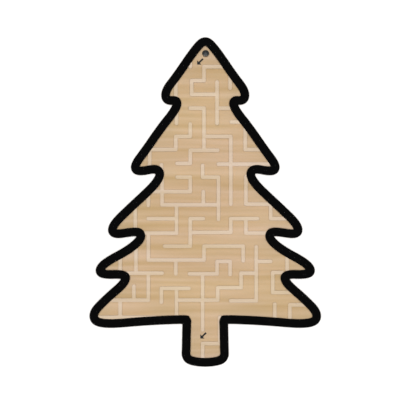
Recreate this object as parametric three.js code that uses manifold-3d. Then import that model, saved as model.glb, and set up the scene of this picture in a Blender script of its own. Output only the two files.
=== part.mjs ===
// A hand-held tilt maze in the shape of a fir tree. It lies on its back: +Z is up, towards the
// player, +Y points to the treetop and +X to the right. All sizes are in millimetres, and the
// origin is on the underside, in the middle of the whole object's box.
//
// From the back: a plywood back panel, a maze floor with its walls glued on, a clear cover that
// rests on the walls, and a black front frame that goes round them all. The frame's lip holds the
// cover down, and screws from the back hold the frame. One steel ball rolls between the walls.

import * as THREE from "three";
import { mergeVertices } from "three/addons/utils/BufferGeometryUtils.js";
import Module from "manifold-3d";

const wasm = await Module();
wasm.setup();

// ---- driving dimensions -------------------------------------------------------------------

// The right half of the frame's centre line, from the treetop down, as the control points of a
// smooth curve. The curve touches each line between two neighbours in that line's middle.
const RIM_POINTS = [
  // the treetop and the first branch
  [0, 129.7], [7.6, 122.6], [23, 99.9], [31.9, 88.7], [31.3, 80.7], [21.8, 81.5],
  // the second branch
  [23.4, 73.8], [34.5, 60.1], [48.4, 40], [56.8, 28.9], [54.4, 23.6], [36.8, 27.4],
  // the third branch
  [35.9, 17.4], [57.4, -2.7], [74.3, -18.7], [74.1, -26.6], [57.1, -23.8], [51.5, -24.7],
  // the fourth branch
  [51.3, -30.1], [61, -38.6], [80, -48.7], [85.2, -55.1], [81.4, -58.4], [63, -57.8],
  // the lowest branch
  [64.2, -65.1], [77.6, -76.4], [91.1, -90], [85.2, -98.6], [46.5, -95.2], [14.2, -93.9],
  // the trunk
  [14.7, -95.4], [15.2, -120.7], [15.4, -122.8], [12.9, -127.1], [0, -128.9],
];
const RIM_TOLERANCE = 0.03; // how far a straight facet may lie off the curve
const LONGEST_LOOP = 30; // facets in the loop that a tight bend leaves when it is moved

// How far each outline lies outside (+) or inside (-) the centre line.
const FRAME_OUTSIDE = 3.65;
const FRAME_INSIDE = -2.0;
const LIP_INSIDE = -3.4;
const PANEL_EDGE = -2.2;
const WALL_END = -2.4;

// Heights of the layers, from the underside up.
const BACK_TOP = 3;
const FLOOR_TOP = 6;
const WALL_TOP = 13.5;
const COVER_TOP = 15.5;
const FRAME_TOP = 17.5;

// The maze is drawn on a lattice of columns and rows. Column 0, row 0 is off the tree's left.
const COLUMN_PITCH = 11;
const ROW_PITCH = 11.05;
const LATTICE_X = -78;
const LATTICE_Y = 108;
const WALL_WIDTH = 3;
const WALL_END_SIDES = 12;

// Each maze wall is one piece, made of bent strips between lattice points [column, row]. A strip
// that meets the frame runs on past it here, and is cut off just inside the frame.
const MAZE_WALLS = [
  [[[6, -1], [6, 0]]],
  [
    [[10, 0], [7, 0], [7, 1], [6.1, 1], [6.1, 2], [7.95, 2]],
    [[7.95, 1.1], [7.95, 4.1]],
    [[7.95, 3], [11, 3]],
  ],
  [[[8.9, 0], [8.9, 1.55]]],
  [[[4.95, 0.8], [4.95, 2.5]]],
  [[[5, 3], [5, 4.1]]],
  [
    [[6, 3], [7, 3], [7, 6.05]],
    [[8, 6.05], [6, 6.05], [6, 7], [5.05, 7]],
    [[7, 5.05], [8.95, 5.05], [8.95, 9.95]],
    [[8.05, 7.05], [14, 7.05]],
  ],
  [
    [[6, 4.15], [6, 5.05], [4.95, 5.05], [4.95, 6], [2, 6]],
    [[3.05, 6], [3.05, 7.6]],
  ],
  [[[10, 4], [10, 6], [13, 6]]],
  [[[9, 4], [11, 4]]],
  [[[3.9, 7.1], [3.9, 7.4]]],
  [
    [[5.05, 8], [6, 8], [6, 9.05], [2, 9.05]],
    [[3.95, 8], [3.95, 10], [8.05, 10]],
    [[6.95, 9.05], [6.95, 10]],
    [[6.9, 7.15], [6.9, 8], [8.05, 8], [8.05, 11.05]],
    [[5, 10], [5, 12.05], [2.5, 12.05]],
    [[2.95, 11], [5, 11]],
    [[2.95, 12.05], [2.95, 14], [7, 14], [7, 13], [9.85, 13], [9.85, 14.05]],
    [[4.95, 14], [4.95, 15]],
  ],
  [
    [[6.95, 11], [6, 11], [6, 13], [4.15, 13]],
    [[6, 12], [8.95, 12], [8.95, 11], [10.9, 11]],
    [[10.05, 11], [10.05, 12.05], [13, 12.05]],
  ],
  [[[10.05, 7.95], [10.05, 9.95], [11.85, 9.95], [11.85, 11], [14, 11]]],
  [[[2.95, 9.4], [2.95, 10.05]]],
  [[[2, 9.8], [2, 12.3]]],
  [[[0.9, 13.6], [0.9, 15.2]]],
  [
    [[2.05, 12.9], [2.05, 14.95]],
    [[1.4, 14.95], [3.95, 14.95]],
    [[2.95, 14.95], [2.95, 16.9]],
    [[-0.5, 16.9], [2.95, 16.9]],
    [[1.9, 15.9], [1.9, 16.9]],
    [[0.9, 16.9], [0.9, 18.15]],
    [[-1.5, 18.15], [3.5, 18.15]],
  ],
  [
    [[3.9, 17.05], [3.9, 16.05], [5.9, 16.05]],
    [[5, 16.05], [5, 18.5]],
    [[5, 16.9], [8, 16.9], [8, 16], [9.7, 16], [9.7, 14.95], [10.8, 14.95]],
    [[10.8, 13.05], [10.8, 16.95], [8.95, 16.95]],
    [[10.8, 14.1], [11.85, 14.1]],
    [[6.9, 15], [6.9, 19.05]],
    [[5.95, 15], [7.95, 15], [7.95, 14.1], [8.9, 14.1], [8.9, 15.05]],
  ],
  [[[12.7, 14.9], [12, 14.9], [12, 16.35], [14, 16.35]]],
  [[[12.15, 17.2], [12.15, 18.6]]],
  [[[13.25, 18.7], [13.25, 17.25], [15.2, 17.25]]],
  [[[13.05, 13.5], [13.05, 15.2]]],
  [[[6.9, 21.6], [6.9, 20.05], [8.15, 20.05], [8.15, 18.15]]],
];

// Start and finish arrows, inlaid flush with the floor. Both point down to the left.
const START_ARROW_TIP = [-6.5, 109.8];
const FINISH_ARROW_TIP = [-4, -109.6];
const ARROW_LENGTH = 6.6;
const ARROW_HEAD = 4.8;
const ARROW_SHAFT = 1.4;
const ARROW_DEPTH = 0.4;
const ARROW_GAP = 0.08;

const BALL_RADIUS = 3;
const BALL_START = [0.3, 118.5];
const BALL_LIFT = 0.02;

// Countersunk screws, on the middle of the frame's wall. Each is at the middle of the line from
// this control point of the right half to the next one, and each has a twin on the left.
const SCREW_PLACES = [1, 7, 13, 19, 27, 30];
const SCREW_OUT = (FRAME_OUTSIDE + FRAME_INSIDE) / 2;
const SCREW_SHANK_RADIUS = 1;
const SCREW_HEAD_RADIUS = 1.8;
const SCREW_HEAD_SINK = 0.3;
const SCREW_CONE = 1;
const SCREW_LENGTH = 10;
const SCREW_GAP = 0.2;
const SCREW_SIDES = 10;

// ---- materials ----------------------------------------------------------------------------

const material = (color, roughness, metalness = 0) =>
  new THREE.MeshStandardMaterial({ color, roughness, metalness });

// ---- outlines -----------------------------------------------------------------------------

const point = (x, y) => new THREE.Vector2(x, y);

// The whole centre line, anticlockwise from the trunk's foot, as a list of {at, outwards}. Round
// each control point goes a parabola between the middles of the lines on either side.
function centreLine() {
  const right = RIM_POINTS.map(([x, y]) => point(x, y));
  const left = right.filter(({ x }) => x > 0).map(({ x, y }) => point(-x, y));
  const controls = [...right.toReversed(), ...left];
  const count = controls.length;
  const middles = controls.map((control, i) => control.clone().lerp(controls[(i + 1) % count], 0.5));
  return controls.flatMap((control, i) => {
    const bend = new THREE.QuadraticBezierCurve(middles[(i + count - 1) % count], control, middles[i]);
    const turn = Math.acos(Math.min(bend.getTangent(0).dot(bend.getTangent(1)), 1));
    const facets = Math.ceil(Math.sqrt((bend.getLength() * turn) / (8 * RIM_TOLERANCE))) || 1;
    return Array.from({ length: facets }, (_, step) => {
      const along = bend.getTangent(step / facets);
      return { at: bend.getPoint(step / facets), outwards: point(along.y, -along.x) };
    });
  });
}

// Where two segments cross, if they do.
function crossing([from, to], [otherFrom, otherTo]) {
  const along = to.clone().sub(from);
  const otherAlong = otherTo.clone().sub(otherFrom);
  const apart = otherFrom.clone().sub(from);
  const turn = along.cross(otherAlong);
  const share = apart.cross(otherAlong) / turn;
  const otherShare = apart.cross(along) / turn;
  const meet = share >= 0 && share <= 1 && otherShare >= 0 && otherShare <= 1;
  return meet ? from.clone().addScaledVector(along, share) : null;
}

// An outline with each loop in it cut off where it crosses itself.
function withoutLoops(outline) {
  const kept = [];
  for (let i = 0; i < outline.length; i += 1) {
    kept.push(outline[i]);
    for (let j = Math.min(i + LONGEST_LOOP, outline.length - 2); j > i + 1; j -= 1) {
      const corner = crossing(outline.slice(i, i + 2), outline.slice(j, j + 2));
      if (corner) {
        kept.push(corner);
        i = j;
        break;
      }
    }
  }
  return kept;
}

// The centre line moved outwards by a distance. A bend that is too tight for that turns over into
// a loop, which becomes a sharp corner.
function treeOutline(distance) {
  return withoutLoops(centreLine().map(({ at, outwards }) => at.addScaledVector(outwards, distance)));
}

// ---- solids -------------------------------------------------------------------------------

// A closed three.js geometry as a manifold solid, for joining and cutting.
function solid(geometry) {
  const bare = geometry.clone();
  bare.deleteAttribute("normal");
  bare.deleteAttribute("uv");
  const merged = mergeVertices(bare, 1e-4);
  return new wasm.Manifold(new wasm.Mesh({
    numProp: 3,
    vertProperties: new Float32Array(merged.attributes.position.array),
    triVerts: new Uint32Array(merged.index.array),
  }));
}

// A manifold solid as a three.js geometry again.
function geometryOf(cut) {
  const mesh = cut.getMesh();
  const geometry = new THREE.BufferGeometry();
  geometry.setAttribute("position", new THREE.BufferAttribute(mesh.vertProperties, 3));
  geometry.setIndex(new THREE.BufferAttribute(mesh.triVerts, 1));
  return geometry;
}

// An upright prism over a flat outline, from one height to another.
function prism(outline, bottom, top) {
  const shape = new THREE.Shape(outline);
  const geometry = new THREE.ExtrudeGeometry(shape, {
    depth: top - bottom,
    bevelEnabled: false,
    steps: 1,
  });
  return solid(geometry.translate(0, 0, bottom));
}

// A solid turned about an upright axis through [x, y], from a profile of [radius, height].
function turned(profile, [x, y], sides) {
  const points = profile.map(([radius, height]) => point(radius, height));
  const lathe = new THREE.LatheGeometry(points, sides);
  return solid(lathe.rotateX(Math.PI / 2).translate(x, y, 0));
}

const joined = (solids) => solids.reduce((all, next) => all.add(next));
const cutBy = (whole, solids) => solids.reduce((left, next) => left.subtract(next), whole);

// ---- the maze walls -----------------------------------------------------------------------

const latticePoint = ([column, row]) =>
  point(LATTICE_X + COLUMN_PITCH * column, LATTICE_Y - ROW_PITCH * row);

// One straight strip between two lattice points, with square ends.
function strip(from, to) {
  const lengthX = Math.abs(to.x - from.x) || WALL_WIDTH;
  const lengthY = Math.abs(to.y - from.y) || WALL_WIDTH;
  const box = new THREE.BoxGeometry(lengthX, lengthY, WALL_TOP - FLOOR_TOP);
  const middle = from.clone().lerp(to, 0.5);
  return solid(box.translate(middle.x, middle.y, (FLOOR_TOP + WALL_TOP) / 2));
}

// The round end of a strip, or the rounded corner where two strips meet.
function roundEnd({ x, y }) {
  const radius = WALL_WIDTH / 2;
  return turned([
    [0, FLOOR_TOP], [radius, FLOOR_TOP], [radius, WALL_TOP], [0, WALL_TOP],
  ], [x, y], WALL_END_SIDES);
}

// Whether a point lies on a strip's centre line, away from the strip's own ends.
function liesAlong(place, [from, to]) {
  const length = from.distanceTo(to);
  const detour = from.distanceTo(place) + place.distanceTo(to) - length;
  const nearEnd = Math.min(from.distanceTo(place), place.distanceTo(to));
  return detour < WALL_WIDTH / 10 && nearEnd > WALL_WIDTH / 4;
}

function mazeWall(runs, room) {
  const pathways = runs.map((run) => run.map(latticePoint));
  const lines = pathways.flatMap((places) => places.slice(1).map((to, i) => [places[i], to]));
  const ends = pathways.flat().filter((place) => !lines.some((line) => liesAlong(place, line)));
  const pieces = [...lines.map(([from, to]) => strip(from, to)), ...ends.map(roundEnd)];
  return joined(pieces).intersect(room);
}

// ---- arrows, screws and their holes ---------------------------------------------------------

// An arrow that points down to the left, grown by a margin on every side.
function arrowOutline([x, y], margin) {
  const half = ARROW_SHAFT / 2 + margin;
  const barb = ARROW_HEAD / 2 + margin * (1 + Math.SQRT2);
  const neck = ARROW_HEAD / 2 + margin;
  const tip = -margin * Math.SQRT2;
  const along = [
    [tip, 0], [neck, barb], [neck, half], [ARROW_LENGTH + margin, half],
    [ARROW_LENGTH + margin, -half], [neck, -half], [neck, -barb],
  ];
  return along.map(([length, across]) =>
    point(x + length, y + across).rotateAround(point(x, y), Math.PI / 4));
}

const arrow = (tip) => prism(arrowOutline(tip, 0), FLOOR_TOP - ARROW_DEPTH, FLOOR_TOP);
const arrowPocket = (tip) =>
  prism(arrowOutline(tip, ARROW_GAP), FLOOR_TOP - ARROW_DEPTH - ARROW_GAP, FLOOR_TOP + 1);

function screwCentres() {
  return SCREW_PLACES.flatMap((place) => {
    const [from, to] = RIM_POINTS.slice(place, place + 2).map(([x, y]) => point(x, y));
    const along = to.clone().sub(from).normalize();
    const { x, y } = from.lerp(to, 0.5).add(point(-along.y, along.x).multiplyScalar(SCREW_OUT));
    return [[x, y], [-x, y]];
  });
}

const screw = (centre) => turned([
  [0, SCREW_HEAD_SINK],
  [SCREW_HEAD_RADIUS, SCREW_HEAD_SINK],
  [SCREW_SHANK_RADIUS, SCREW_HEAD_SINK + SCREW_CONE],
  [SCREW_SHANK_RADIUS, SCREW_LENGTH - SCREW_CONE],
  [0, SCREW_LENGTH],
], centre, SCREW_SIDES);

const countersunkHole = (centre) => turned([
  [0, -1],
  [SCREW_HEAD_RADIUS + SCREW_GAP, -1],
  [SCREW_HEAD_RADIUS + SCREW_GAP, SCREW_HEAD_SINK],
  [SCREW_SHANK_RADIUS + SCREW_GAP, SCREW_HEAD_SINK + SCREW_CONE],
  [SCREW_SHANK_RADIUS + SCREW_GAP, BACK_TOP + 1],
  [0, BACK_TOP + 1],
], centre, SCREW_SIDES);

const pilotHole = (centre) => turned([
  [0, BACK_TOP - 1],
  [SCREW_SHANK_RADIUS + SCREW_GAP, BACK_TOP - 1],
  [SCREW_SHANK_RADIUS + SCREW_GAP, SCREW_LENGTH + SCREW_GAP],
  [0, SCREW_LENGTH + SCREW_GAP],
], centre, SCREW_SIDES);

// ---- the assembly -------------------------------------------------------------------------

const game = new THREE.Group();

function add(name, cut, finish) {
  const mesh = new THREE.Mesh(geometryOf(cut), finish);
  mesh.name = name;
  game.add(mesh);
}

const two = (number) => String(number + 1).padStart(2, "0");
const screws = screwCentres();
const arrowTips = { start_arrow: START_ARROW_TIP, finish_arrow: FINISH_ARROW_TIP };

const plywood = material(0xc9a678, 0.7);
const floorWood = material(0xcdaf88, 0.62);
const wallWood = material(0xdcc7ac, 0.6);
const blackLacquer = material(0x0a0a0a, 0.55);
const clearPlastic = material(0xf4f8f8, 0.08);
const steel = material(0xc8cacc, 0.15, 1);
const blackZinc = material(0x2a2a2c, 0.4, 1);

const backBlank = prism(treeOutline(FRAME_OUTSIDE), 0, BACK_TOP);
add("back_panel", cutBy(backBlank, screws.map(countersunkHole)), plywood);

const floorBlank = prism(treeOutline(PANEL_EDGE), BACK_TOP, FLOOR_TOP);
add("maze_floor", cutBy(floorBlank, Object.values(arrowTips).map(arrowPocket)), floorWood);

const wallRoom = prism(treeOutline(WALL_END), BACK_TOP, COVER_TOP);
MAZE_WALLS.forEach((runs, i) => add(`maze_wall_${two(i)}`, mazeWall(runs, wallRoom), wallWood));

Object.entries(arrowTips).forEach(([name, tip]) => add(name, arrow(tip), blackLacquer));

add("clear_cover", prism(treeOutline(PANEL_EDGE), WALL_TOP, COVER_TOP), clearPlastic);

const frameBlank = prism(treeOutline(FRAME_OUTSIDE), BACK_TOP, FRAME_TOP);
const frameRoom = prism(treeOutline(FRAME_INSIDE), BACK_TOP - 1, COVER_TOP);
const frameWindow = prism(treeOutline(LIP_INSIDE), BACK_TOP - 1, FRAME_TOP + 1);
add("front_frame", cutBy(frameBlank, [frameRoom, frameWindow, ...screws.map(pilotHole)]), blackLacquer);

screws.forEach((centre, i) => add(`case_screw_${two(i)}`, screw(centre), blackZinc));

const ball = new THREE.Mesh(new THREE.SphereGeometry(BALL_RADIUS, 20, 14), steel);
ball.name = "steel_ball";
ball.position.set(...BALL_START, FLOOR_TOP + BALL_RADIUS + BALL_LIFT);
game.add(ball);

// The origin goes to the middle of the object's box, on the underside.
const middle = new THREE.Box3().setFromObject(game).getCenter(new THREE.Vector3());
game.position.set(-middle.x, -middle.y, 0);

export default game;
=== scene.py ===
# Looks of the fir-tree tilt maze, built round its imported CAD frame. Everything is in metres, in
# the CAD's own frame: the game lies on its back, +Z is up, +Y points to the treetop.
#
# Every visible piece takes its outline and heights from its CAD node, so it fits by itself. What is
# added here is what the CAD leaves out: true arcs, rounded and sanded edges, screw threads and
# recesses, and the materials.

import math

import bmesh
import bpy
import numpy as np
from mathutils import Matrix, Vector
from mathutils.geometry import tessellate_polygon


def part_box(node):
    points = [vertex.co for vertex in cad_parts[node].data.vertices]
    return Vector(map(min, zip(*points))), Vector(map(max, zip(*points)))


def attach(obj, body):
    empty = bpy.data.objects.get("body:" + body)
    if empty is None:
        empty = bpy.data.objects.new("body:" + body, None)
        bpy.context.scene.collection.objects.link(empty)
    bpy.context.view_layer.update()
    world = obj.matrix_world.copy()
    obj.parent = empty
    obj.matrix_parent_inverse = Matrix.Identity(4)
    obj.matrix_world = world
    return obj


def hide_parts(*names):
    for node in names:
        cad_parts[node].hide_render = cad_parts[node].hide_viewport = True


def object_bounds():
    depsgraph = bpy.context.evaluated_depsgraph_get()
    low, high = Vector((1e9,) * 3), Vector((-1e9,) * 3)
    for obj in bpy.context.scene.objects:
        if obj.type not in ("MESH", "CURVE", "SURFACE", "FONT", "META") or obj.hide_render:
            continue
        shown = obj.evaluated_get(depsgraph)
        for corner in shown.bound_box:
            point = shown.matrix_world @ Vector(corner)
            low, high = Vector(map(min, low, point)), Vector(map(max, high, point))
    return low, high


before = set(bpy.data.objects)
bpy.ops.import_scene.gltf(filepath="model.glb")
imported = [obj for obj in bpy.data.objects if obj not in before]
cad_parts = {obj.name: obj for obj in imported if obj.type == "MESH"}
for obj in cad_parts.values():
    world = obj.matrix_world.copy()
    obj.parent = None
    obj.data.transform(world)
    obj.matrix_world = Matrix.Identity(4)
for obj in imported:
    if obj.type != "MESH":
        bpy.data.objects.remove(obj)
cad_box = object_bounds()

MM = 0.001
WELD = 0.002 * MM  # vertices closer than this are the same one

# ---- edges, in metres -----------------------------------------------------------------------

FRAME_EDGE = 0.7 * MM  # rounding of the frame's outer edge
WINDOW_EDGE = 0.35 * MM  # rounding of the frame's lip
WALL_EDGE = 0.12 * MM  # rounding along the top of a maze wall
SANDED_EDGE = 0.3 * MM  # rounding of the plywood's edge
COVER_EDGE = 0.05 * MM
ARROW_EDGE = 0.06 * MM
HIDDEN_EDGE = 0.1 * MM  # bevel along the undersides of the frame, its lip and the back panel
HOLE_SIDES = 32
SINK_DEPTH = 1.0 * MM  # height of a countersink's cone

# ---- screws, in metres ----------------------------------------------------------------------

THREAD_CREST = 1.0 * MM  # radius of the shank
THREAD_ROOT = 0.72 * MM
HEAD_HEIGHT = 1.25 * MM
TIP_HEIGHT = 1.0 * MM
RECESS_ARM = 1.0 * MM
RECESS_HALF_WIDTH = 0.2 * MM
RECESS_DEPTH = 0.75 * MM
RECESS_TAPER = 0.62  # how much of its mouth's width the recess keeps at the bottom

# The clear cover stays this far off what it rests on, so that their faces don't meet.
TOUCH = 0.03 * MM

# How long a smooth bend's facets are. Shorter segments are leftovers, and longer ones are straight.
TREE_FACETS = (0.3 * MM, 40 * MM)
WALL_FACETS = (0.7 * MM, 0.8 * MM)
NO_FACETS = (0, 0)
GENTLE_TURN = math.radians(31)  # a sharper turn than this is a real corner
FACET_PARTS = 4  # each facet is drawn as this many shorter ones

# ---- outlines -------------------------------------------------------------------------------


def enclosed(ring):
    """The area inside a ring, positive if it runs anticlockwise."""
    x, y = ring.T
    return 0.5 * float(np.sum(x * np.roll(y, -1) - y * np.roll(x, -1)))


def outlines(node, height):
    """The outlines of a CAD node's flat faces at one height: the outer one, anticlockwise, then
    the outlines of its holes, clockwise. The material is on the left of each."""
    shape = bmesh.new()
    shape.from_mesh(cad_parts[node].data)
    bmesh.ops.remove_doubles(shape, verts=shape.verts, dist=WELD)
    flat = {f for f in shape.faces if all(abs(v.co.z - height) < WELD for v in f.verts)}
    following = {}
    for face in shape.faces:
        for loop in face.loops if face in flat else ():
            if not any(other is not face and other in flat for other in loop.edge.link_faces):
                following[loop.vert] = loop.link_loop_next.vert
    rings = []
    while following:
        start, vert = following.popitem()
        ring = [start.co.xy]
        while vert is not start:
            ring.append(vert.co.xy)
            vert = following.pop(vert)
        rings.append(np.array(ring))
    shape.free()
    rings.sort(key=lambda r: -abs(enclosed(r)))
    wanted = [1] + [-1] * (len(rings) - 1)
    return [r if enclosed(r) * sign > 0 else r[::-1] for r, sign in zip(rings, wanted)]


def headings(ring):
    """The direction and length of each segment of a ring."""
    steps = np.roll(ring, -1, 0) - ring
    lengths = np.hypot(*steps.T)
    return steps / lengths[:, None], lengths


def turns(ring):
    """How far a ring turns at each of its points, in radians."""
    after, _ = headings(ring)
    before = np.roll(after, 1, 0)
    cross = before[:, 0] * after[:, 1] - before[:, 1] * after[:, 0]
    return np.arctan2(cross, (before * after).sum(1))


def without_straight_points(ring):
    return ring[np.abs(turns(ring)) > math.radians(0.4)]


def without_short_segments(ring, shortest):
    """The ring with the flatter end of each leftover segment taken out."""
    _, length = headings(ring)
    while length.min() < shortest:
        start = int(length.argmin())
        ends = [start, (start + 1) % len(ring)]
        flatter = ends[int(np.abs(turns(ring))[ends].argmin())]
        ring = np.delete(ring, flatter, 0)
        _, length = headings(ring)
    return ring


def rounded(ring, facets):
    """The ring with its faceted bends drawn as smooth curves through the same points."""
    shortest, longest = facets
    ring = without_short_segments(without_straight_points(ring), shortest)
    direction, length = headings(ring)
    turn = turns(ring)
    bend = length < longest
    count = len(ring)
    leaving = direction.copy()
    arriving = direction.copy()
    for i in range(count):
        before = i - 1
        if abs(turn[i]) > GENTLE_TURN or not (bend[before] or bend[i]):
            continue
        if bend[before] and bend[i]:
            tangent = length[i] * direction[before] + length[before] * direction[i]
            tangent /= np.hypot(*tangent)
        else:
            tangent = direction[i] if bend[before] else direction[before]
        leaving[i] = tangent
        arriving[before] = tangent
    points = []
    for i in range(count):
        points.append(ring[i])
        if not bend[i]:
            continue
        end = ring[(i + 1) % count]
        for part in range(1, FACET_PARTS):
            t = part / FACET_PARTS
            points.append(
                (2 * t**3 - 3 * t**2 + 1) * ring[i]
                + (t**3 - 2 * t**2 + t) * length[i] * leaving[i]
                + (3 * t**2 - 2 * t**3) * end
                + (t**3 - t**2) * length[i] * arriving[i]
            )
    # A faceted bend's true arc may swell past its facets, but no piece leaves its node's box.
    return np.clip(points, ring.min(0), ring.max(0))


def inset(ring, distance):
    """The ring moved towards the material on its left. A segment too short for that shrinks to
    a point instead of turning over."""
    direction, _ = headings(ring)
    left = np.stack([-direction[:, 1], direction[:, 0]], 1)
    before = np.roll(left, 1, 0)
    share = 1 + (left * before).sum(1)
    moved = ring + distance * (left + before) / np.maximum(share, 0.4)[:, None]
    overturned = ((np.roll(moved, -1, 0) - moved) * direction).sum(1) < 0
    for start in np.flatnonzero(overturned):
        ends = [start, (start + 1) % len(ring)]
        moved[ends] = moved[ends].mean(0)
    return moved


def circle(centre, radius, sides=HOLE_SIDES):
    """A clockwise circle: the edge of a round hole."""
    angles = -np.arange(sides) * math.tau / sides
    return centre + radius * np.stack([np.cos(angles), np.sin(angles)], 1)


def quarter_round(radius, top, steps=5):
    """The profile of an edge rounded off below a flat top, as (inset, height) from the bottom up."""
    angles = [math.pi / 2 * step / steps for step in range(steps + 1)]
    return [(radius * (1 - math.cos(a)), top - radius * (1 - math.sin(a))) for a in angles]


def bottom_round(radius, bottom, steps=3):
    """The same for an edge at the bottom."""
    return [(i, 2 * bottom - z) for i, z in reversed(quarter_round(radius, bottom, steps))]


# ---- closed shells --------------------------------------------------------------------------


class Shell:
    """A closed surface put together from rings of points, the strips between them and flat caps."""

    def __init__(self):
        self.points = []
        self.faces = []
        self.smooth = []

    def ring(self, outline, height):
        first = len(self.points)
        heights = np.broadcast_to(height, len(outline))
        self.points += [(float(x), float(y), float(z)) for (x, y), z in zip(outline, heights)]
        return list(range(first, len(self.points)))

    def strip(self, lower, upper):
        """Faces between two rings of the same length. The outside is on the rings' right."""
        for i, j in enumerate([*range(1, len(lower)), 0]):
            self.faces.append((lower[i], lower[j], upper[j], upper[i]))
            self.smooth.append(True)

    def side(self, outline, profile):
        """An outline's side, from a profile of (inset, height). Gives its two end rings."""
        rings = [self.ring(inset(outline, by) if by else outline, z) for by, z in profile]
        for lower, upper in zip(rings, rings[1:]):
            self.strip(lower, upper)
        return rings[0], rings[-1]

    def cap(self, rings, upward=True):
        """A flat face inside the first ring, with the other rings as holes in it."""
        order = [i for ring in rings for i in ring]
        loops = [[Vector(self.points[i]) for i in ring] for ring in rings]
        triangles = [[order[i] for i in triangle] for triangle in tessellate_polygon(loops)]
        corners = np.array([[self.points[i][:2] for i in triangle] for triangle in triangles])
        to_second, to_third = corners[:, 1] - corners[:, 0], corners[:, 2] - corners[:, 0]
        area = np.sum(to_second[:, 0] * to_third[:, 1] - to_second[:, 1] * to_third[:, 0])
        way = 1 if (area > 0) == upward else -1
        self.faces += [tuple(triangle[::way]) for triangle in triangles]
        self.smooth += [False] * len(triangles)

    def piece(self, name, body, finish, node, crease=35):
        """The finished object. It rides on a body and stands for a CAD node."""
        mesh = bpy.data.meshes.new(name)
        mesh.from_pydata(self.points, [], self.faces)
        mesh.polygons.foreach_set("use_smooth", self.smooth)
        mesh.set_sharp_from_angle(angle=math.radians(crease))
        mesh.materials.append(finish.material)
        made = bpy.data.objects.new(name, mesh)
        bpy.context.scene.collection.objects.link(made)
        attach(made, body)
        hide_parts(node)
        return made


def plate(node, facets, bottom_edge, top_edge, gap=0.0):
    """A board in its CAD node's outline, with its edges rounded off. It stops short of the faces
    that it touches above and below by a gap."""
    low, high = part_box(node)
    outline = rounded(outlines(node, high.z)[0], facets)
    shell = Shell()
    profile = bottom_round(bottom_edge, low.z + gap) + quarter_round(top_edge, high.z - gap)
    bottom, top = shell.side(outline, profile)
    return shell, bottom, top


# ---- materials ------------------------------------------------------------------------------


def colour(hex_code):
    """A linear colour from its usual six-digit code."""
    channels = [int(hex_code[i : i + 2], 16) / 255 for i in (0, 2, 4)]
    return (*(c / 12.92 if c <= 0.04045 else ((c + 0.055) / 1.055) ** 2.4 for c in channels), 1.0)


class Finish:
    """A node material on a record's material slot, with short ways to add nodes to it."""

    def __init__(self, name, slot, **constants):
        self.slot = slot
        self.material = bpy.data.materials.new(name)
        self.material.use_nodes = True
        self.tree = self.material.node_tree
        self.tree.nodes.clear()
        self.output = self.tree.nodes.new("ShaderNodeOutputMaterial")
        self.shader = self.node("ShaderNodeBsdfPrincipled", constants)
        self.link(self.shader.outputs["BSDF"], self.output.inputs["Surface"])
        self.place = self.node("ShaderNodeTexCoord").outputs["Object"]

    def link(self, source, target):
        self.tree.links.new(source, target)

    def node(self, kind, inputs=None, **settings):
        made = self.tree.nodes.new(kind)
        for name, value in settings.items():
            setattr(made, name, value)
        for name, value in (inputs or {}).items():
            if isinstance(value, bpy.types.NodeSocket):
                self.link(value, made.inputs[name])
            else:
                made.inputs[name].default_value = value
        return made

    def maths(self, operation, *values):
        inputs = dict(enumerate(values))
        return self.node("ShaderNodeMath", inputs, operation=operation).outputs[0]

    def noise(self, size, detail=2.0, roughness=0.5, offset=(0, 0, 0), place=None):
        """Noise of about -1 to 1 whose blots are size = (x, y, z) metres large."""
        moved = self.node(
            "ShaderNodeMapping",
            {
                "Vector": self.place if place is None else place,
                "Location": offset,
                "Scale": tuple(1 / s for s in size),
            },
        ).outputs[0]
        value = self.node(
            "ShaderNodeTexNoise",
            {"Vector": moved, "Scale": 1.0, "Detail": detail, "Roughness": roughness},
        ).outputs["Fac"]
        return self.maths("MULTIPLY_ADD", value, 4.0, -2.0)

    def weighted(self, base, *terms):
        """base plus each (value, weight)."""
        total = base
        for value, weight in terms:
            total = self.maths("MULTIPLY_ADD", value, weight, total)
        return total

    def blend(self, factor, low, high, mode="MIX"):
        """The colour between low and high, for a factor from 0 to 1."""
        mix = self.node("ShaderNodeMix", data_type="RGBA", blend_type=mode, clamp_factor=True)
        for socket, value in ((0, factor), (6, low), (7, high)):
            if isinstance(value, bpy.types.NodeSocket):
                self.link(value, mix.inputs[socket])
            else:
                mix.inputs[socket].default_value = value
        return mix.outputs[2]

    def use(self, **sockets):
        """Feeds the shader's own sockets, named with underscores for spaces."""
        for name, source in sockets.items():
            self.link(source, self.shader.inputs[name.replace("_", " ")])

    def bump(self, height, depth, strength=1.0):
        made = self.node(
            "ShaderNodeBump", {"Height": height, "Distance": depth, "Strength": strength}
        )
        self.use(Normal=made.outputs["Normal"])


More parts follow.
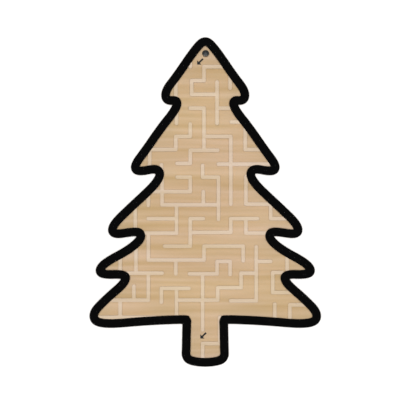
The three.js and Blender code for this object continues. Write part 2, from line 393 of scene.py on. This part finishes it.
def wood(name, slot, dark, pale, rosy, depth, roughness):
    """Fine, straight-grained wood whose grain runs along X, with broad bands, streaks and pores.
    All the wood shares one figure, as boards cut from one plank do."""
    finish = Finish(name, slot)
    wander = finish.noise((60 * MM, 22 * MM, 300 * MM), detail=1.0, offset=(3.1, 0.4, 1.7))
    shift = finish.node(
        "ShaderNodeCombineXYZ", {"Y": finish.maths("MULTIPLY", wander, 1.2 * MM)}
    ).outputs[0]
    place = finish.node(
        "ShaderNodeVectorMath", {0: finish.place, 1: shift}, operation="ADD"
    ).outputs[0]
    bands = finish.noise((70 * MM, 9 * MM, 400 * MM), 1.5, 0.5, (-32.44, -25.49, 0.885))
    streaks = finish.noise((130 * MM, 4.8 * MM, 120 * MM), 2.0, 0.45, (5.2, 0.7, 0.1), place)
    fibres = finish.noise((9 * MM, 0.5 * MM, 2 * MM), 2.0, 0.6, (1.4, 8.1, 2.0), place)
    smudges = finish.noise((12 * MM, 5 * MM, 90 * MM), 2.0, 0.6, (7.7, 3.3, 5.0), place)
    smudge = finish.node(
        "ShaderNodeMapRange", {"Value": smudges, "From Min": 0.7, "From Max": 1.4}
    ).outputs[0]
    pore = finish.node(
        "ShaderNodeMapRange", {"Value": fibres, "From Min": 0.8, "From Max": 1.6}
    ).outputs[0]
    tone = finish.weighted(
        0.52, (bands, 0.23), (streaks, 0.53), (fibres, 0.02), (smudge, -0.3), (pore, -0.04)
    )
    tint = finish.weighted(
        0.5,
        (finish.noise((80 * MM, 16 * MM, 400 * MM), 1.0, 0.5, (2.0, 5.5, 4.4), place), 0.55),
        (bands, 0.15),
    )
    plain = finish.blend(tone, dark, pale)
    finish.use(
        Base_Color=finish.blend(tint, plain, finish.blend(1.0, plain, rosy, "MULTIPLY")),
        Roughness=finish.weighted(roughness, (streaks, 0.04), (fibres, 0.03), (pore, 0.1)),
    )
    finish.bump(finish.weighted(0.5, (streaks, 0.12), (fibres, 0.3), (pore, -0.3)), depth)
    return finish


def lacquer(name, slot, roughness):
    """Black lacquer: brushed out over wood, with a faint ripple and a few dust specks."""
    finish = Finish(name, slot, **{"Specular IOR Level": 0.2})
    ripple = finish.noise((9 * MM, 5 * MM, 7 * MM), 2.0, 0.5)
    grain = finish.noise((6 * MM, 0.7 * MM, 3 * MM), 2.0, 0.6, (4.0, 1.0, 2.0))
    specks = finish.noise((0.35 * MM,) * 3, 1.0, 0.5, (9.0, 3.0, 6.0))
    tone = finish.weighted(0.4, (ripple, 0.25), (specks, 0.2))
    finish.use(
        Base_Color=finish.blend(tone, (0.0008, 0.0008, 0.0009, 1), (0.002, 0.0019, 0.0019, 1)),
        Roughness=finish.weighted(roughness, (ripple, 0.03), (grain, 0.03), (specks, 0.02)),
    )
    finish.bump(finish.weighted(0.5, (ripple, 0.35), (grain, 0.2), (specks, 0.06)), 0.03 * MM)
    return finish


def plywood():
    """Three-ply birch: pale faces with the grain along X, a darker core and thin glue lines."""
    finish = wood(
        "birch_plywood", "plywood", colour("b18f62"), colour("cdb083"), (1, 0.97, 0.95, 1),
        0.05 * MM, 0.55,
    )
    low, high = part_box("back_panel")
    height = finish.node("ShaderNodeSeparateXYZ", {0: finish.place}).outputs["Z"]
    uneven = finish.noise((12 * MM, 12 * MM, 3 * MM), 2.0, 0.5, (6.0, 6.0, 6.0))
    height = finish.maths("MULTIPLY_ADD", uneven, 0.04 * MM, height)
    share = finish.node(
        "ShaderNodeMapRange", {"Value": height, "From Min": low.z, "From Max": high.z}
    ).outputs[0]
    plies = finish.node("ShaderNodeValToRGB", {"Fac": share})
    plies.color_ramp.interpolation = "LINEAR"
    bands = [(0.0, 1.0), (0.30, 1.0), (0.33, 0.25), (0.36, 0.62), (0.64, 0.55), (0.67, 0.25), (0.70, 1.0)]
    ramp = plies.color_ramp.elements
    while len(ramp) < len(bands):
        ramp.new(0.5)
    for element, (position, grey) in zip(ramp, bands):
        element.position = position
        element.color = (grey, grey * 0.94, grey * 0.86, 1)
    face = finish.shader.inputs["Base Color"].links[0].from_socket
    finish.use(Base_Color=finish.blend(1.0, face, plies.outputs["Color"], "MULTIPLY"))
    return finish


def metal(name, slot, dark, pale, roughness, scratch):
    """Bare or plated steel with fine scratches and faint handling marks."""
    finish = Finish(name, slot, Metallic=1.0)
    marks = finish.noise((1.4 * MM,) * 3, 3.0, 0.6)
    scratches = finish.noise((2.5 * MM, 0.12 * MM, 0.6 * MM), 3.0, 0.7, (3.0, 2.0, 1.0))
    finish.use(
        Base_Color=finish.blend(finish.weighted(0.5, (marks, 0.3), (scratches, 0.2)), dark, pale),
        Roughness=finish.weighted(roughness, (marks, 0.04), (scratches, scratch)),
    )
    finish.bump(finish.weighted(0.5, (marks, 0.1), (scratches, 0.1)), 0.004 * MM)
    return finish


def clear_sheet():
    """A clear acrylic sheet. The face towards the light mirrors by its angle, and both faces let
    the rest straight through."""
    finish = Finish("clear_acrylic", "clear_plastic")
    smears = finish.noise((30 * MM, 18 * MM, 20 * MM), 3.0, 0.6)
    dust = finish.noise((0.5 * MM,) * 3, 1.0, 0.5, (2.0, 7.0, 1.0))
    finish.use(Roughness=finish.weighted(0.05, (smears, 0.012), (dust, 0.006)))
    finish.bump(smears, 0.01 * MM, 0.4)
    finish.shader.inputs["Base Color"].default_value = (0.75, 0.78, 0.79, 1)
    clear = finish.node("ShaderNodeBsdfTransparent", {"Color": (0.985, 0.99, 0.99, 1)})
    mirror = finish.node("ShaderNodeFresnel", {"IOR": 1.45}).outputs[0]
    behind = finish.node("ShaderNodeNewGeometry").outputs["Backfacing"]
    share = finish.maths("MULTIPLY", mirror, finish.maths("SUBTRACT", 1.0, behind))
    mixed = finish.node(
        "ShaderNodeMixShader", {0: share, 1: clear.outputs[0], 2: finish.shader.outputs[0]}
    )
    finish.link(mixed.outputs[0], finish.output.inputs["Surface"])
    return finish


def pale_floor():
    finish = Finish("studio_floor", None)
    mottle = finish.noise((0.25,) * 3, 3.0, 0.5)
    finish.use(
        Base_Color=finish.blend(
            finish.weighted(0.5, (mottle, 0.3)), (0.48, 0.48, 0.48, 1), (0.5, 0.5, 0.5, 1)
        ),
        Roughness=finish.weighted(0.85, (mottle, 0.05)),
    )
    finish.shader.inputs["Emission Color"].default_value = (1, 1, 1, 1)
    finish.shader.inputs["Emission Strength"].default_value = FLOOR_GLOW
    return finish


FLOOR_WOOD = wood(
    "maze_floor_wood", "floor_wood", colour("b59769"), colour("c6aa86"), (1.0, 0.995, 1.13, 1),
    0.03 * MM, 0.5,
)
WALL_WOOD = wood(
    "maze_wall_wood", "wall_wood", colour("c2aa8a"), colour("ceb89d"), (1.0, 0.995, 1.1, 1),
    0.03 * MM, 0.5,
)
PLYWOOD = plywood()
FRAME_BLACK = lacquer("black_lacquer", "black_lacquer", 0.2)
INLAY_BLACK = lacquer("black_inlay_resin", "black_inlay", 0.6)
CLEAR = clear_sheet()
SCREW_METAL = metal(
    "black_zinc", "screw_steel", colour("2c2c2e"), colour("4a4a4d"), 0.38, 0.05
)
BALL_METAL = metal(
    "polished_steel", "ball_steel", colour("b4b7ba"), colour("d4d6d8"), 0.08, 0.02
)

# ---- the pieces -----------------------------------------------------------------------------


def front_frame():
    """The black frame: a rim with a lip over the cover's edge, and blind holes for its screws."""
    low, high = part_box("front_frame")
    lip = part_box("clear_cover")[1].z
    rim, window = (rounded(r, TREE_FACETS) for r in outlines("front_frame", high.z))
    room, _ = (rounded(r, TREE_FACETS) for r in outlines("front_frame", lip))
    shell = Shell()
    under, over = shell.side(
        rim, [(HIDDEN_EDGE, low.z), (0, low.z + HIDDEN_EDGE), *quarter_round(FRAME_EDGE, high.z)]
    )
    lip_under, lip_over = shell.side(
        window, [(HIDDEN_EDGE, lip), (0, lip + HIDDEN_EDGE), *quarter_round(WINDOW_EDGE, high.z)]
    )
    room_low, room_high = shell.side(room[::-1], [(0, low.z), (0, lip)])
    pilots = []
    for name in screws:
        centre = screw_centre(name)
        radius, depth = pilot_size(centre, low.z)
        mouth, end = shell.side(circle(centre, radius), [(0, low.z), (0, depth)])
        shell.cap([end], upward=False)
        pilots.append(mouth)
    shell.cap([over, lip_over])
    shell.cap([room_high, lip_under], upward=False)
    shell.cap([under, room_low, *pilots], upward=False)
    shell.piece("black_front_frame", "case", FRAME_BLACK, "front_frame")


def screw_centre(name):
    low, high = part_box(name)
    return np.array(((low + high) / 2).xy)


def nearest_ring(rings, centre):
    return min(rings, key=lambda ring: np.hypot(*(ring.mean(0) - centre)))


def hole_radius(node, height, centre):
    ring = nearest_ring(outlines(node, height)[1:], centre)
    return float(np.hypot(*(ring - ring.mean(0)).T).max())


def pilot_size(centre, mouth):
    """The radius of the frame's hole for a screw, and the height of its blind end."""
    shape = np.array([v.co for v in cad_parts["front_frame"].data.vertices])
    near = np.hypot(*(shape[:, :2] - centre).T) < 1.3 * MM
    return hole_radius("front_frame", mouth, centre), float(shape[near, 2].max())


def back_panel():
    """The plywood back, with a sanded edge and a countersunk hole for each screw."""
    node = "back_panel"
    low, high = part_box(node)
    shell, bottom, top = plate(node, TREE_FACETS, SANDED_EDGE, HIDDEN_EDGE)
    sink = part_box(screws[0])[0].z
    mouths, ends = [], []
    for name in screws:
        centre = screw_centre(name)
        wide = hole_radius(node, low.z, centre)
        narrow = hole_radius(node, high.z, centre)
        mouth, waist = shell.side(circle(centre, wide), [(0, low.z), (0, sink)])
        neck, end = shell.side(circle(centre, narrow), [(0, sink + SINK_DEPTH), (0, high.z)])
        shell.strip(waist, neck)
        mouths.append(mouth)
        ends.append(end)
    shell.cap([bottom, *mouths], upward=False)
    shell.cap([top, *ends])
    shell.piece("plywood_back", "case", PLYWOOD, node)


def walls():
    for node in wall_nodes:
        shell, bottom, top = plate(node, WALL_FACETS, 0.05 * MM, WALL_EDGE)
        shell.cap([bottom], upward=False)
        shell.cap([top])
        shell.piece(node.replace("maze_wall", "wooden_wall"), "case", WALL_WOOD, node)


def cover():
    shell, bottom, top = plate("clear_cover", TREE_FACETS, COVER_EDGE, COVER_EDGE, TOUCH)
    shell.cap([bottom], upward=False)
    shell.cap([top])
    shell.piece("acrylic_cover", "case", CLEAR, "clear_cover")


def arrows():
    for node in ("start_arrow", "finish_arrow"):
        shell, bottom, top = plate(node, NO_FACETS, 0.01 * MM, ARROW_EDGE)
        shell.cap([bottom], upward=False)
        shell.cap([top])
        shell.piece(f"{node}_inlay", "case", INLAY_BLACK, node, crease=60)


def cross(centre, arm, half):
    """The clockwise outline of a screw's cross recess."""
    corner = np.array([[arm, -half], [half, -half], [half, -arm]])
    quarters = []
    for turn in range(4):
        a = -turn * math.pi / 2
        spin = np.array([[math.cos(a), -math.sin(a)], [math.sin(a), math.cos(a)]])
        quarters.append(corner @ spin.T)
    return centre + np.concatenate(quarters)


def screw(node, turn_count=9, sides=24):
    """A countersunk wood screw with a cross recess and a rolled thread."""
    low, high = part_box(node)
    centre = screw_centre(node)
    head = (high.x - low.x) / 2
    neck = low.z + HEAD_HEIGHT
    tip = high.z - TIP_HEIGHT
    shell = Shell()
    rim = circle(centre, 1.0, sides)[::-1] - centre

    def level(radius, height):
        return shell.ring(centre + rim * radius, height)

    rings = [level(head - 0.12 * MM, low.z), level(head, low.z + 0.1 * MM)]
    rings += [level(head, low.z + 0.22 * MM), level(THREAD_CREST, neck)]
    pitch = (tip - neck) / turn_count
    phase = np.arange(sides) / sides
    steps = turn_count * 6
    for step in range(1, steps):
        height = neck + (tip - neck) * step / steps
        crest = np.abs(2 * (((height - neck) / pitch + phase) % 1) - 1)
        fade = min(step / 6, (steps - step) / 6, 1)
        radius = THREAD_CREST - (THREAD_CREST - THREAD_ROOT) * (1 - crest**2) * fade
        rings.append(shell.ring(centre + rim * radius[:, None], height))
    rings += [level(0.8 * MM, tip), level(0.08 * MM, high.z - 0.02 * MM)]
    for lower, upper in zip(rings, rings[1:]):
        shell.strip(lower, upper)
    shell.cap([rings[-1]])
    outline = cross(centre, RECESS_ARM, RECESS_HALF_WIDTH)
    mouth = shell.ring(outline, low.z)
    deep = shell.ring(centre + (outline - centre) * RECESS_TAPER, low.z + RECESS_DEPTH)
    shell.strip(mouth, deep)
    shell.cap([deep], upward=False)
    shell.cap([rings[0], mouth], upward=False)
    shell.piece(node.replace("case", "cross"), "case", SCREW_METAL, node, crease=40)


def ball():
    """The steel ball, as round as it really is."""
    low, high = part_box("steel_ball")
    shape = bmesh.new()
    bmesh.ops.create_icosphere(shape, subdivisions=5, radius=(high.z - low.z) / 2)
    bmesh.ops.translate(shape, verts=shape.verts, vec=(low + high) / 2)
    mesh = bpy.data.meshes.new("rolling_ball")
    shape.to_mesh(mesh)
    shape.free()
    mesh.polygons.foreach_set("use_smooth", [True] * len(mesh.polygons))
    mesh.materials.append(BALL_METAL.material)
    made = bpy.data.objects.new("rolling_ball", mesh)
    bpy.context.scene.collection.objects.link(made)
    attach(made, "ball")
    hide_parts("steel_ball")


screws = sorted(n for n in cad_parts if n.startswith("case_screw"))
wall_nodes = sorted(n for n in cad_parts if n.startswith("maze_wall"))

front_frame()
back_panel()
walls()
cover()
arrows()
for screw_name in screws:
    screw(screw_name)
ball()

maze_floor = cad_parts["maze_floor"]
maze_floor.data.materials.clear()
maze_floor.data.materials.append(FLOOR_WOOD.material)

# ---- the studio -----------------------------------------------------------------------------

FLOOR_SIZE = 30.0
FLOOR_GAP = 0.1 * MM  # the floor lies this far below the game, so that their faces don't meet

SUN_WIDTH = math.radians(9)
SUN_STRENGTH = 3.78  # watts per square metre
HORIZON_LIGHT = 0.95
OVERHEAD_LIGHT = 0.1
FLOOR_GLOW = 0.45  # the floor is a light table, so that the game throws hardly any shadow on it

VIEW_WIDTH = 332.8 * MM  # what the camera sees across, at the top of the game
VIEW_CENTRE = (2.2 * MM, -4.79 * MM)
LENS = 1200.0
SENSOR = 36.0


def studio_floor():
    edge = FLOOR_SIZE / 2
    mesh = bpy.data.meshes.new("studio_floor")
    corners = [(-edge, -edge), (edge, -edge), (edge, edge), (-edge, edge)]
    mesh.from_pydata([(x, y, -FLOOR_GAP) for x, y in corners], [], [(0, 1, 2, 3)])
    mesh.materials.append(pale_floor().material)
    made = bpy.data.objects.new("studio_floor", mesh)
    bpy.context.scene.collection.objects.link(made)


def studio_sun():
    """One soft light straight overhead, which leaves no side of a wall in shade. Glossy surfaces
    mirror the sky alone, so that black lacquer stays black from above."""
    light = bpy.data.lights.new("soft_overhead_sun", "SUN")
    light.energy = SUN_STRENGTH
    light.angle = SUN_WIDTH
    lamp = bpy.data.objects.new(light.name, light)
    lamp.visible_glossy = False
    bpy.context.scene.collection.objects.link(lamp)


def studio_sky():
    """Even light all round, bright at the horizon and dimmer overhead."""
    world = bpy.data.worlds.new("studio_sky")
    world.use_nodes = True
    tree = world.node_tree
    tree.nodes.clear()
    direction = tree.nodes.new("ShaderNodeTexCoord")
    split = tree.nodes.new("ShaderNodeSeparateXYZ")
    ramp = tree.nodes.new("ShaderNodeMapRange")
    ramp.interpolation_type = "SMOOTHSTEP"
    ramp.inputs["From Min"].default_value = 0.0
    ramp.inputs["From Max"].default_value = 0.5
    ramp.inputs["To Min"].default_value = HORIZON_LIGHT
    ramp.inputs["To Max"].default_value = OVERHEAD_LIGHT
    background = tree.nodes.new("ShaderNodeBackground")
    background.inputs["Color"].default_value = (1, 1, 1, 1)
    output = tree.nodes.new("ShaderNodeOutputWorld")
    tree.links.new(direction.outputs["Generated"], split.inputs[0])
    tree.links.new(split.outputs["Z"], ramp.inputs["Value"])
    tree.links.new(ramp.outputs[0], background.inputs["Strength"])
    tree.links.new(background.outputs[0], output.inputs["Surface"])
    bpy.context.scene.world = world


def camera():
    """Straight down on the game, from far enough away that its sides don't show."""
    lens = bpy.data.cameras.new("camera")
    lens.lens = LENS
    lens.sensor_width = SENSOR
    lens.clip_start = 0.05
    lens.clip_end = 100.0
    made = bpy.data.objects.new("camera", lens)
    distance = VIEW_WIDTH * LENS / SENSOR
    made.location = (*VIEW_CENTRE, cad_box[1][2] + distance)
    bpy.context.scene.collection.objects.link(made)
    bpy.context.scene.camera = made


studio_floor()
studio_sun()
studio_sky()
camera()
bpy.context.scene.view_settings.view_transform = "Standard"
